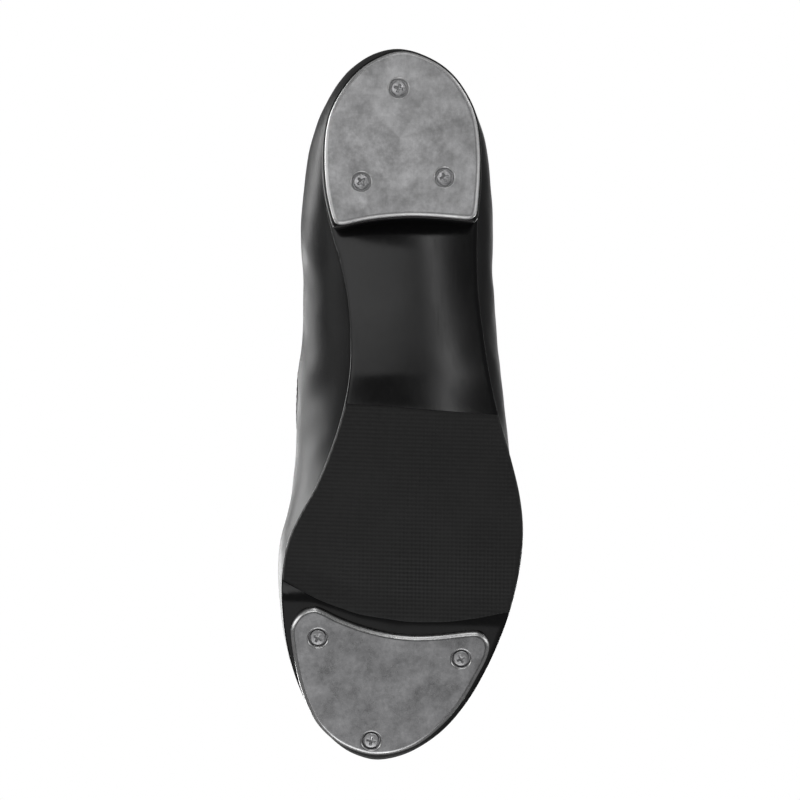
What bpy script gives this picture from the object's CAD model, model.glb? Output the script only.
"""A black tap shoe, tied with a ribbon bow, over its CAD pieces.

Sizes are in millimetres unless a comment says otherwise. X runs from the heel (-30) to the toe
(210), Y from the lateral side (negative) to the medial side (positive), and Z up from the ground,
on which the heel tap stands.
"""
import math

import bmesh
import bpy
import numpy as np
from mathutils import Matrix, Vector
from mathutils.kdtree import KDTree

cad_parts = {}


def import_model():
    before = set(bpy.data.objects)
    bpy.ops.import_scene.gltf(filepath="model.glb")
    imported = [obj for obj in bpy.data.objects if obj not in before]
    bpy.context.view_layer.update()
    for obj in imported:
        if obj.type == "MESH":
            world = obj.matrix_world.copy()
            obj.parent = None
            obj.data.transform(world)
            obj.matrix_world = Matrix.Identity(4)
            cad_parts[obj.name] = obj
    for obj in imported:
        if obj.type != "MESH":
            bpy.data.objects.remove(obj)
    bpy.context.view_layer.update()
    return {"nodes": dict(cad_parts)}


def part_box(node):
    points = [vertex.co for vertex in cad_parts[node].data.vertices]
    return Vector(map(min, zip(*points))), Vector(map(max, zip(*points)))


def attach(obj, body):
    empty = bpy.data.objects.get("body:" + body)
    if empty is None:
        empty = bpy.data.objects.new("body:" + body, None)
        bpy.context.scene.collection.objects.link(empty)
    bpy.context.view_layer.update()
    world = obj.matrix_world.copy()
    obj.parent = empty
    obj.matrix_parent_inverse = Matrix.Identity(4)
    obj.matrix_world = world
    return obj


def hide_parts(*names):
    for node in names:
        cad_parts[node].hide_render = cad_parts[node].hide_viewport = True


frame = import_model()
MM = 0.001
TURN = 2 * math.pi

# Thicknesses
UPPER_THICK, LINING_THICK, LINING_GAP = 1.2, 0.8, 0.05
EDGE_STACK = UPPER_THICK + LINING_GAP + LINING_THICK
TAP_THICK = 2.3

# The toe tap's ground face is a plane rising towards the toe
TAP_SLOPE, TAP_REAR_X, TAP_REAR_Z = 0.27, 166.4, 4.3
TAP_ANGLE = math.atan(TAP_SLOPE)
TAP_COS, TAP_SIN = math.cos(TAP_ANGLE), math.sin(TAP_ANGLE)

# Pitch of the cross ribs on the two tapes
BINDING_RIB = 0.85
RIBBON_RIB = 0.8
RIBBON_WIDTH = 15.5


# ---------------------------------------------------------------- curves
def spline(before, start, end, after, t):
    """Catmull-Rom curve from start to end."""
    return 0.5 * (2 * start + (end - before) * t
                  + (2 * before - 5 * start + 4 * end - after) * t * t
                  + (3 * start - before - 3 * end + after) * t ** 3)


def closed_curve(points, at):
    """Points on a closed curve; a whole number in `at` falls on a given point."""
    points, at = np.asarray(points, float), np.asarray(at, float)
    n = len(points)
    i = np.floor(at).astype(int)
    return spline(points[(i - 1) % n], points[i % n], points[(i + 1) % n], points[(i + 2) % n],
                  (at - i)[..., None])


def open_curve(points, at):
    points, at = np.asarray(points, float), np.asarray(at, float)
    n = len(points)
    i = np.clip(np.floor(at).astype(int), 0, n - 2)
    start, end = points[i], points[i + 1]
    before = np.where((i > 0)[..., None], points[np.maximum(i - 1, 0)], 2 * start - end)
    after = np.where((i + 2 < n)[..., None], points[np.minimum(i + 2, n - 1)], 2 * end - start)
    return spline(before, start, end, after, (at - i)[..., None])


def unit(v):
    v = np.asarray(v, float)
    return v / np.maximum(np.linalg.norm(v, axis=-1, keepdims=True), 1e-9)


def dots(a, b):
    """Row by row dot products, as a column."""
    return np.einsum("ij,ij->i", a, b)[:, None]


def smoothstep(t):
    t = np.clip(t, 0, 1)
    return t * t * (3 - 2 * t)


def blur_loop(values, width):
    """Gaussian smoothing round a closed loop, with the width in points."""
    reach = int(width * 3) + 1
    steps = range(-reach, reach + 1)
    weights = np.exp(-0.5 * (np.array(steps) / width) ** 2)
    weights /= weights.sum()
    return sum(w * np.roll(values, i, axis=0) for i, w in zip(steps, weights))


def loop_lengths(loop):
    """Distance along a closed loop at each point, and back at the first."""
    steps = np.linalg.norm(np.roll(loop, -1, axis=0) - loop, axis=1)
    return np.concatenate([[0], np.cumsum(steps)])


def resample_loop(values, lengths, count):
    values = np.vstack([values, values[:1]])
    at = np.arange(count) / count * lengths[-1]
    return np.stack([np.interp(at, lengths, column) for column in values.T], 1)


def loop_tangents(loop):
    return unit(np.roll(loop, -1, 0) - np.roll(loop, 1, 0))


def inset_loop(loop, inset):
    """A flat loop moved inwards."""
    tangent = loop_tangents(loop)
    inward = np.stack([-tangent[:, 1], tangent[:, 0]], 1)
    if np.mean(dots(inward, loop.mean(0) - loop)) < 0:
        inward = -inward
    return loop + inward * inset


# ---------------------------------------------------------------- sole outline and side profile
# x, y from the back of the heel to the tip of the toe, down each side
OUTLINE_LATERAL = [
    [-30, -0.8], [-26.5, -11.4], [-19.5, -20], [-9, -26], [4, -27.6], [20, -27.2], [36, -26.8],
    [52, -27.2], [66, -28.7], [80, -30.8], [94, -33.8], [108, -37.8], [120, -40.6], [131, -41.7],
    [142, -41], [154, -38.7], [166, -34.9], [178, -29.9], [190, -23.2], [200, -14.8],
    [207, -4.6], [209.8, 5]]
OUTLINE_MEDIAL = [
    [-26.5, 9.8], [-19.5, 17.8], [-9, 23.8], [4, 25.8], [18, 25.2], [30, 22.8], [42, 19.4],
    [56, 17], [70, 16.2], [82, 17], [94, 19.6], [106, 23.6], [117, 28.2], [127, 33.8],
    [136, 37.6], [147, 39.4], [159, 39.2], [172, 37.4], [185, 33.4], [197, 27.2], [205, 19.6],
    [208.9, 12.2]]
OUTLINE = np.array(OUTLINE_LATERAL + OUTLINE_MEDIAL[::-1], float)
TOE_TIP = len(OUTLINE_LATERAL) - 1
LATERAL_LINE = closed_curve(OUTLINE, np.linspace(0, TOE_TIP, 600))
MEDIAL_LINE = closed_curve(OUTLINE, np.linspace(TOE_TIP, len(OUTLINE), 600))[::-1]

# x, z of the feather line, where the upper turns under
FEATHER = np.array([
    [-30, 23.0], [-12, 21.3], [0, 19.9], [13, 18.5], [29, 17.2], [45, 16.0], [62, 14.3],
    [78, 12.2], [94, 9.7], [108, 8.5], [125, 8.2], [142, 8.8], [156, 10.0], [169, 12.0],
    [182, 14.8], [192, 17.2], [201, 19.5], [210, 21.6]])
FEATHER_LINE = open_curve(FEATHER, np.linspace(0, len(FEATHER) - 1, 900))


def lateral_y(x):
    return np.interp(x, LATERAL_LINE[:, 0], LATERAL_LINE[:, 1])


def medial_y(x):
    return np.interp(x, MEDIAL_LINE[:, 0], MEDIAL_LINE[:, 1])


def middle_y(x):
    return (lateral_y(x) + medial_y(x)) / 2


def feather_z(x):
    return np.interp(x, FEATHER_LINE[:, 0], FEATHER_LINE[:, 1])


def dome(x, y):
    """1 along the middle of the sole, falling to 0 at its edges."""
    half = np.maximum(1, (medial_y(x) - lateral_y(x)) / 2)
    return 1 - np.minimum(1, np.abs(y - middle_y(x)) / half) ** 2


def last_z(x, y):
    """The foot side of the sole, which bulges down under the forefoot."""
    crown = np.interp(x, [80, 95, 110, 125, 140, 152, 164], [0, 1, 2.2, 2.6, 2.2, 1, 0])
    return feather_z(x) - crown * dome(x, y)


def tap_face_z(x):
    return TAP_REAR_Z + TAP_SLOPE * (x - TAP_REAR_X)


def sole_z(x, y):
    """The sole's underside, which becomes the toe tap's seat at the front."""
    thickness = np.interp(x, [-30, 0, 24, 36, 125], [1.3, 2.1, 3.1, 3.6, 3.6])
    free = last_z(x, y) - thickness
    seat = tap_face_z(x) + TAP_THICK / TAP_COS + 0.03
    seat_rear = np.interp(y, [-40, -28, 0, 12, 20, 29, 40],
                          [167.5, 166.5, 166.5, 164, 161, 157.5, 157])
    w = smoothstep((np.asarray(x) - seat_rear + 14) / 13)
    return free * (1 - w) + seat * w


def waist_arch(x, y):
    """Slight crown across the underside, strongest in the waist."""
    height = np.interp(x, [24, 36, 88, 100], [1.5, 1.5, 0.8, 0.8])
    return height * smoothstep((x - 22) / 12) * smoothstep((98 - x) / 10) * dome(x, y)


# ---------------------------------------------------------------- the upper's surface
# Stations from heel to toe: feather x, lean from +X in degrees, top line point,
# lower handle (out, up) on the lateral and on the medial side, upper handle from the top point
STATIONS = [
    [-29.3, 180, [-30.6, 0, 76.6], [6.5, 14], [6.5, 14], [-6, 0, -16]],
    [-26.0, 150, [-26.5, 11, 78.7], [6.5, 14], [6.5, 14], [-4.5, 4.5, -17]],
    [-18.5, 122, [-15, 18.5, 80.2], [6.5, 14], [6.5, 14], [-2.5, 7, -18]],
    [-4, 100, [3, 21.5, 76.6], [7, 14], [8, 13], [0, 9, -18]],
    [14, 90, [19, 22.5, 74.0], [10, 14], [11, 12], [0, 11, -18]],
    [30, 90, [32, 22.5, 73.2], [12, 13], [15.5, 10], [0, 13, -18]],
    [42, 90, [44, 20.5, 75.6], [12.5, 13], [19.5, 9], [0, 14, -18]],
    [49, 90, [52.3, 21.5, 72.3], [12.5, 13], [20.5, 8.5], [0, 13.5, -17]],
    [56, 90, [59.7, 23.8, 67.6], [11.5, 13], [20, 8], [0, 12, -16]],
    [62, 90, [66.3, 26.8, 61.8], [10.5, 12], [18.5, 8], [0, 9.5, -14]],
    [68, 90, [72.3, 30, 55.3], [9.5, 12], [17, 8], [0, 6.5, -12]],
    [77, 90, [76.5, 31.8, 51.4], [9, 12], [15.5, 8], [0, 5, -11]],
    [88, 90, [88, 32.6, 48.6], [8, 12], [13, 9], [0, 4.5, -10]],
    [102, 90, [102, 32, 47.0], [6, 12], [12, 11], [0, 5.5, -10]],
    [118, 86, [116, 29.5, 47.9], [3.5, 15], [11, 14], [0, 8, -9]],
    [138, 78, [129, 24.5, 50.1], [2.5, 20], [9, 18], [2, 10.5, -5]],
    [162, 64, [138, 18, 51], [2.5, 20], [8.5, 19], [9, 13.5, -6.5]],
    [182, 48, [143.5, 11.5, 51.4], [3, 20.5], [8, 19.5], [15.5, 12, -7.5]],
    [198, 26, [146.3, 5.5, 51.5], [3.5, 21.5], [6, 21.5], [19.5, 7, -8.5]],
    [208.3, 0, [147, 0, 51.5], [3.5, 22], [3.5, 22], [20, 3, -8.7]]]
LAST_STATION = len(STATIONS) - 1
STATION_COLUMNS = 8                 # mesh columns per station
COLUMNS = 2 * LAST_STATION * STATION_COLUMNS
SIDE_STEPS = np.concatenate([np.linspace(0, 0.1, 5), np.linspace(0.1, 1, 31)[1:]])
MARGIN, MARGIN_ROWS = 11.0, 3       # the edge turned in under the foot
BASE_ROWS = MARGIN_ROWS + len(SIDE_STEPS)

# The strap rises from the top line between two stations. Each row holds x, y, z from its
# upper to its lower edge; the rows go from near the neck to the tip.
STRAP_FIRST, STRAP_LAST, STRAP_ROWS = 6, 10, 16
STRAP = np.array([
    [[50.5, 17.2, 78.6], [57.5, 19, 75.8], [64, 21.6, 71.4], [69.8, 24.8, 66], [74.2, 27.6, 60.8]],
    [[57.5, 12.8, 81.9], [64, 14.3, 79.8], [70.5, 16.5, 76.4], [76.5, 19.6, 71.6],
     [80.6, 22.6, 66.6]],
    [[63.5, 9.6, 83.9], [70, 7.6, 83.9], [76.5, 8.2, 82.1], [82, 11, 78.6], [85.3, 16, 73]]])
STRAP_NECK = np.array([row[2] for row in STATIONS[STRAP_FIRST:STRAP_LAST + 1]], float)
STRAP_UPPER_COLUMN = STRAP_FIRST * STATION_COLUMNS
STRAP_LOWER_COLUMN = STRAP_LAST * STATION_COLUMNS


def mirrored(v, side):
    return np.array([v[0], side * v[1], v[2]], float)


def feather_point(index, side):
    x, lean = STATIONS[index][0], math.radians(STATIONS[index][1])
    if index in (0, LAST_STATION):
        y = OUTLINE_LATERAL[0 if index == 0 else -1][1]
    else:
        inset = np.interp(x, [80, 100], [0.7, 1.5])
        edge_x = x + inset * math.cos(lean)
        edge_y = lateral_y(edge_x) if side < 0 else medial_y(edge_x)
        y = edge_y - side * inset * math.sin(lean)
    return [x, y, feather_z(x)]


def skin_rails():
    """Feather line, lean, lower handle, top line and upper handle at every mesh column."""
    rows = []
    for k in range(2 * LAST_STATION):
        index, side = (k, -1) if k <= LAST_STATION else (2 * LAST_STATION - k, 1)
        _, angle, top, lateral, medial, handle = STATIONS[index]
        lean = np.array([math.cos(math.radians(angle)), side * math.sin(math.radians(angle)), 0])
        out, up = lateral if side < 0 else medial
        rows.append([feather_point(index, side), lean, lean * out + [0, 0, up],
                     mirrored(top, side), mirrored(handle, side)])
    at = np.arange(COLUMNS) / STATION_COLUMNS
    return [closed_curve(rail, at) for rail in np.array(rows, float).swapaxes(0, 1)]


def base_grid(feather, outward, low_handle, top, high_handle):
    """Skin without its straps, indexed by column and row."""
    rows = []
    for k in range(MARGIN_ROWS):
        row = feather - outward * MARGIN * (1 - k / MARGIN_ROWS)
        row[:, 2] = last_z(row[:, 0], row[:, 1])
        rows.append(row)
    low, high = feather + low_handle, top + high_handle
    for s in SIDE_STEPS:
        rows.append((1 - s) ** 3 * feather + 3 * s * (1 - s) ** 2 * low
                    + 3 * s * s * (1 - s) * high + s ** 3 * top)
    return np.stack(rows, 1)


def strap_point(across, along, neck):
    """across: 0 to 4, from upper to lower edge; along: 0 to 1, from neck to rounded tip."""
    along = along * (1 - 0.13 * abs(2 * across / 4 - 1) ** 5)
    start = open_curve(STRAP_NECK, across)
    moves = np.vstack([[0, 0, 0], [open_curve(row, across) - start for row in STRAP]])
    return neck + open_curve(moves, 3 * along)


def with_strap(base, column):
    side = -1 if column < COLUMNS / 2 else 1
    from_heel = column if side < 0 else COLUMNS - column
    if not STRAP_UPPER_COLUMN <= from_heel <= STRAP_LOWER_COLUMN:
        return base
    across = from_heel / STATION_COLUMNS - STRAP_FIRST
    neck = mirrored(base[-1], side)
    strap = [mirrored(strap_point(across, (r + 1) / STRAP_ROWS, neck), side)
             for r in range(STRAP_ROWS)]
    return np.vstack([base, strap])


RAILS = skin_rails()
RAILS[1] = unit(RAILS[1])
SKIN_COLUMNS = [with_strap(base, c) for c, base in enumerate(base_grid(*RAILS))]
COLUMN_START = np.concatenate([[0], np.cumsum([len(k) for k in SKIN_COLUMNS])])
ROW = np.concatenate([np.arange(len(k)) for k in SKIN_COLUMNS])
COLUMN = np.concatenate([np.full(len(k), c) for c, k in enumerate(SKIN_COLUMNS)])
OUTWARD = RAILS[1][COLUMN]


def skin_index(column, row):
    return int(COLUMN_START[column % COLUMNS] + row)


def skin_quads():
    quads = []
    for c in range(COLUMNS):
        for r in range(min(len(SKIN_COLUMNS[c]), len(SKIN_COLUMNS[(c + 1) % COLUMNS])) - 1):
            quads.append((skin_index(c, r), skin_index(c, r + 1),
                          skin_index(c + 1, r + 1), skin_index(c + 1, r)))
    return quads


QUADS = skin_quads()


def skin_normals(points):
    quads = np.array(QUADS)
    face = np.cross(points[quads[:, 2]] - points[quads[:, 0]],
                    points[quads[:, 3]] - points[quads[:, 1]])
    normals = np.zeros_like(points)
    for k in range(4):
        np.add.at(normals, quads[:, k], face)
    return unit(normals)


def unevenness(points):
    """Height of the shallow waves, the toe pleats and the crease across the vamp."""
    x, y, z = points.T
    on_side = smoothstep((ROW - MARGIN_ROWS - 1) / 6) * smoothstep((BASE_ROWS + 4 - ROW) / 8)
    wave = (0.30 * np.sin(x * 0.055 + z * 0.11 + 1.3) * np.sin(y * 0.07 + x * 0.021)
            + 0.16 * np.sin(x * 0.13 - z * 0.19 + 0.4) * np.sin(y * 0.16 + 0.9)
            + 0.07 * np.sin(x * 0.41 + y * 0.22) * np.sin(z * 0.37 + x * 0.05))
    pleat = (0.10 * smoothstep((x - 150) / 35)
             * np.sin(COLUMN / STATION_COLUMNS * TURN * 1.7)
             * np.exp(-((ROW - MARGIN_ROWS - 4) / 5.0) ** 2))
    crease = (-0.22 * np.exp(-((x - 128 - 0.22 * (z - 25)) / 2.6) ** 2)
              * smoothstep((z - 18) / 12) * smoothstep((52 - z) / 8))
    return ((wave + crease) * on_side + pleat)[:, None]


SKIN = np.vstack(SKIN_COLUMNS)
NORMALS = skin_normals(SKIN)
# The sign that turns the computed normals out of the shoe
OUT_SIGN = -1 if np.mean(dots(NORMALS, SKIN - [60, 0, 40])) < 0 else 1
SKIN = SKIN + NORMALS * OUT_SIGN * unevenness(SKIN)
NORMALS = skin_normals(SKIN) * OUT_SIGN


def skin_at_depth(depth):
    """The skin moved inwards; the turned-in margin moves up, with a blend above the feather."""
    depth = np.broadcast_to(np.asarray(depth, float), (len(SKIN),))[:, None]
    out = SKIN - NORMALS * depth
    up = [0, 0, 1] * depth
    margin = ROW < MARGIN_ROWS
    out[margin] = SKIN[margin] + up[margin]
    blend = (ROW >= MARGIN_ROWS) & (ROW < MARGIN_ROWS + 4)
    t = ((ROW[blend] - MARGIN_ROWS) / 4.0)[:, None]
    corner = SKIN[blend] + up[blend] * (1 - t) - OUTWARD[blend] * depth[blend]
    out[blend] = corner * (1 - t) + out[blend] * t
    return out


def free_edge():
    """(column, row) round the top line, up and over each strap."""
    top, tip = BASE_ROWS - 1, BASE_ROWS + STRAP_ROWS - 1
    edge, column = [], 0
    for first, last in ((STRAP_UPPER_COLUMN, STRAP_LOWER_COLUMN),
                        (COLUMNS - STRAP_LOWER_COLUMN, COLUMNS - STRAP_UPPER_COLUMN)):
        edge += [(c, top) for c in range(column, first + 1)]
        edge += [(first, r) for r in range(top + 1, tip + 1)]
        edge += [(c, tip) for c in range(first + 1, last + 1)]
        edge += [(last, r) for r in range(tip - 1, top - 1, -1)]
        column = last + 1
    return edge + [(c, top) for c in range(column, COLUMNS)]


EDGE = free_edge()


# ---------------------------------------------------------------- shader graphs
class Graph:
    """A node tree with its output, and short calls for the nodes in use here."""

    def __init__(self, owner, output="ShaderNodeOutputMaterial"):
        owner.use_nodes = True
        self.owner = owner
        self.tree = owner.node_tree
        self.tree.nodes.clear()
        self.output = self.node(output)

    def feed(self, socket, value):
        if isinstance(value, bpy.types.NodeSocket):
            self.tree.links.new(value, socket)
        else:
            socket.default_value = value

    def node(self, kind, inputs=None, **properties):
        node = self.tree.nodes.new(kind)
        for key, value in properties.items():
            setattr(node, key, value)
        for key, value in (inputs or {}).items():
            self.feed(node.inputs[key], value)
        return node

    def position(self, stretch=(1, 1, 1)):
        """Object position in millimetres."""
        coords = self.node("ShaderNodeTexCoord").outputs["Object"]
        return self.node("ShaderNodeMapping", {
            "Vector": coords, "Scale": [1000 * s for s in stretch]}).outputs[0]

    def split(self, vector):
        return self.node("ShaderNodeSeparateXYZ", {"Vector": vector}).outputs

    def mesh_coords(self):
        """The three parts of the mesh attribute "tc"."""
        attribute = self.node("ShaderNodeAttribute", attribute_name="tc")
        return self.split(attribute.outputs["Vector"])

    def noise(self, vector, scale, detail=2.0, rough=0.5):
        return self.node("ShaderNodeTexNoise", {
            "Vector": vector, "Scale": scale, "Detail": detail,
            "Roughness": rough}).outputs["Fac"]

    def remap(self, value, source, target=(0, 1)):
        return self.node("ShaderNodeMapRange", {
            "Value": value, "From Min": source[0], "From Max": source[1],
            "To Min": target[0], "To Max": target[1]}).outputs[0]

    def mix(self, factor, first, second):
        """Colour mix; each colour is a socket or an RGB triple."""
        colours = [c if isinstance(c, bpy.types.NodeSocket) else (*c, 1)
                   for c in (first, second)]
        return self.node("ShaderNodeMix", {0: factor, 6: colours[0], 7: colours[1]},
                         data_type="RGBA").outputs[2]

    def maths(self, operation, first, second=None, clamp=False):
        inputs = {0: first} if second is None else {0: first, 1: second}
        return self.node("ShaderNodeMath", inputs, operation=operation,
                         use_clamp=clamp).outputs[0]

    def add(self, first, second, clamp=False):
        return self.maths("ADD", first, second, clamp)

    def times(self, first, second):
        return self.maths("MULTIPLY", first, second)

    def total(self, *terms):
        """Weighted sum of (socket, weight) pairs."""
        result = None
        for socket, weight in terms:
            term = socket if weight == 1 else self.times(socket, weight)
            result = term if result is None else self.add(result, term)
        return result

    def wave(self, along, pitch, operation="COSINE"):
        return self.maths(operation, self.times(along, TURN / pitch))

    def set(self, inputs):
        for key, value in inputs.items():
            self.feed(self.bsdf.inputs[key], value)

    def bump(self, height, strength, distance):
        node = self.node("ShaderNodeBump", {
            "Height": height, "Strength": strength, "Distance": distance * MM})
        self.set({"Normal": node.outputs[0]})


def principled(name):
    g = Graph(bpy.data.materials.new(name))
    g.bsdf = g.node("ShaderNodeBsdfPrincipled")
    g.feed(g.output.inputs[0], g.bsdf.outputs[0])
    return g


def grey(value, blue=None):
    return (value, value, value if blue is None else blue)


# ---------------------------------------------------------------- materials
# `rough` pairs are the roughness at the two ends of a noise; noise scales are per millimetre.
def leather():
    """Satin leather with a cellular grain."""
    g = principled("satin_leather")
    place = g.position()
    cloud = g.noise(place, 0.035, detail=3)
    fine = g.noise(place, 1.9, detail=4, rough=0.6)
    colour = g.mix(g.remap(cloud, (0.35, 0.65)), grey(0.0035, 0.0040), grey(0.0060, 0.0066))
    rough = g.add(g.remap(cloud, (0.3, 0.7), (0.34, 0.44)),
                  g.remap(fine, (0.3, 0.7), (-0.04, 0.04)))
    g.set({"Base Color": colour, "Roughness": rough, "Specular IOR Level": 0.38})
    cells = g.node("ShaderNodeTexVoronoi", {"Vector": place, "Scale": 1.15, "Randomness": 1.0},
                   feature="DISTANCE_TO_EDGE").outputs[0]
    cells = g.remap(cells, (0.0, 0.22))
    g.bump(g.total((cells, 0.6), (fine, 0.7)), strength=0.42, distance=0.05)
    return g.owner


def tape(name, dark, light, pitch, rough, sheen):
    """Tape with ribs across it and fine threads along it."""
    g = principled(name)
    coords = g.mesh_coords()
    place = g.position()
    rib = g.wave(coords[0], pitch)
    thread = g.wave(coords[1], 0.42)
    fuzz = g.noise(place, 5.0, detail=3, rough=0.65)
    slub = g.noise(place, 0.22, detail=3)
    tone = g.total((g.remap(rib, (-1, 1)), 0.45), (slub, 0.55))
    g.set({"Base Color": g.mix(tone, dark, light),
           "Roughness": g.remap(fuzz, (0.2, 0.8), (rough - 0.08, rough + 0.1)),
           "Sheen Weight": sheen, "Sheen Roughness": 0.5, "Specular IOR Level": 0.3})
    g.bump(g.total((thread, 0.22), (fuzz, 0.8), (rib, 0.3)), strength=0.5, distance=0.06)
    return g.owner


def cloth(name, dark, light, pitch):
    g = principled(name)
    place = g.position()
    axes = g.split(place)
    first = g.wave(g.add(axes[0], axes[2]), pitch)
    second = g.wave(g.add(axes[1], axes[2]), pitch)
    fuzz = g.noise(place, 2.6, detail=4, rough=0.6)
    weave = g.total((g.times(first, second), 0.2), (fuzz, 1))
    g.set({"Base Color": g.mix(g.remap(weave, (0, 1)), dark, light),
           "Roughness": g.remap(fuzz, (0.2, 0.8), (0.9 - 0.1, 0.9 + 0.05)),
           "Sheen Weight": 0.3, "Specular IOR Level": 0.25})
    g.bump(weave, strength=0.5, distance=0.08)
    return g.owner


def gloss(name, dark, light, rough, scuff):
    """Paint or lacquer with faint ripples, dust and streaks along the shoe."""
    g = principled(name)
    place = g.position()
    ripple = g.noise(place, 0.05, detail=3)
    dust = g.noise(place, 0.9, detail=5, rough=0.7)
    streak = g.noise(g.position((0.05, 1.3, 1.3)), 1.0, detail=3, rough=0.6)
    colour = g.mix(g.remap(dust, (0.45, 0.75)), dark, light)
    roughness = g.add(g.remap(ripple, (0.3, 0.7), rough),
                      g.remap(streak, (0.52, 0.75), (0, scuff)))
    g.set({"Base Color": colour, "Roughness": roughness,
           "Coat Weight": 0.0, "Coat Roughness": 0.12})
    g.bump(g.total((ripple, 1.5), (dust, 0.12)), strength=0.25, distance=0.12)
    return g.owner


def rubber():
    """Ribbed rubber, paler on the rib crests, with fine grooves along the shoe."""
    g = principled("ribbed_rubber")
    crest = g.mesh_coords()[0]
    place = g.position()
    fine = g.noise(place, 1.6, detail=4, rough=0.65)
    cloud = g.noise(place, 0.045, detail=3)
    base = g.mix(g.total((crest, 0.65), (fine, 0.35)), grey(0.010), grey(0.034))
    colour = g.mix(g.remap(cloud, (0.4, 0.7), (0, 0.35)), base, grey(0.044))
    rough = g.remap(g.total((fine, 0.5), (cloud, 0.5)), (0.3, 0.7), (0.46, 0.66))
    g.set({"Base Color": colour, "Roughness": rough, "Specular IOR Level": 0.45})
    groove = g.wave(g.split(place)[1], 1.35, "SINE")
    g.bump(g.total((groove, 1.1), (fine, 1)), strength=0.5, distance=0.06)
    return g.owner


def alloy(name, dark, light, rough, scratch, facing):
    """Tumbled cast aluminium: clouds, pits, scratches, and rims worn bright where the
    surface turns away from `facing`."""
    g = principled(name)
    place = g.position()
    cloud = g.noise(place, 0.11, detail=5, rough=0.62)
    mottle = g.noise(place, 0.55, detail=5, rough=0.7)
    pits = g.noise(place, 2.4, detail=3, rough=0.6)
    along = g.noise(g.position((0.12, 2.8, 1.0)), 1.0, detail=4, rough=0.7)
    across = g.noise(g.position((2.4, 0.10, 1.0)), 1.0, detail=4, rough=0.7)
    lines = g.add(g.remap(along, (0.55, 0.72)), g.remap(across, (0.58, 0.74)), clamp=True)
    tone = g.remap(g.total((cloud, 0.75), (mottle, 0.45)), (0.42, 0.78))
    tone = g.add(tone, g.times(lines, 0.22 * scratch), clamp=True)
    normal = g.node("ShaderNodeNewGeometry").outputs["Normal"]
    tilt = g.node("ShaderNodeVectorMath", {0: normal, 1: facing},
                  operation="DOT_PRODUCT").outputs["Value"]
    worn = g.times(g.remap(tilt, (0.90, 0.995), (1, 0)),
                   g.remap(mottle, (0.25, 0.6), (0.7, 1)))
    colour = g.mix(worn, g.mix(tone, dark, light), grey(0.97))
    roughness = g.total((g.remap(cloud, (0.3, 0.7), rough[::-1]), 1), (lines, 0.10 * scratch),
                        (g.remap(pits, (0.35, 0.7), (-0.03, 0.06)), 1), (worn, 0.10))
    g.set({"Base Color": colour, "Metallic": 1.0, "Roughness": roughness})
    height = g.total((mottle, 0.6), (pits, 0.25))
    height = g.maths("SUBTRACT", height, g.times(lines, 0.25 * scratch))
    g.bump(height, strength=0.30, distance=0.05)
    return g.owner


def metal(name, colour, rough):
    g = principled(name)
    grain = g.noise(g.position(), 1.5, detail=4, rough=0.65)
    dull = tuple(0.72 * c for c in colour)
    g.set({"Base Color": g.mix(g.remap(grain, (0.35, 0.7)), colour, dull), "Metallic": 1.0,
           "Roughness": g.remap(grain, (0.3, 0.7), rough)})
    g.bump(grain, strength=0.15, distance=0.03)
    return g.owner


def board(name, dark, light, scale):
    g = principled(name)
    place = g.position()
    coarse = g.noise(place, scale, detail=5, rough=0.7)
    fine = g.noise(place, scale * 5, detail=3, rough=0.6)
    grain = g.total((coarse, 0.7), (fine, 0.3))
    g.set({"Base Color": g.mix(g.remap(grain, (0.35, 0.65)), dark, light),
           "Roughness": g.remap(fine, (0.3, 0.7), (0.85 - 0.1, 0.85 + 0.08))})
    g.bump(grain, strength=0.4, distance=0.1)
    return g.owner


def film():
    """Milky film round the ribbon's end, black at the tip."""
    g = principled("tip_film")
    along = g.mesh_coords()[0]
    cloud = g.noise(g.position(), 1.2, detail=3)
    milky = g.mix(g.remap(cloud, (0.35, 0.65)), grey(0.30, 0.31), grey(0.55, 0.57))
    tip = g.remap(along, (11.9, 12.5))
    g.set({"Base Color": g.mix(tip, milky, grey(0.01)),
           "Roughness": g.remap(cloud, (0.3, 0.7), (0.08, 0.18)),
           "Coat Weight": 0.6, "Coat Roughness": 0.05})
    g.bump(cloud, strength=0.1, distance=0.05)
    return g.owner


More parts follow.
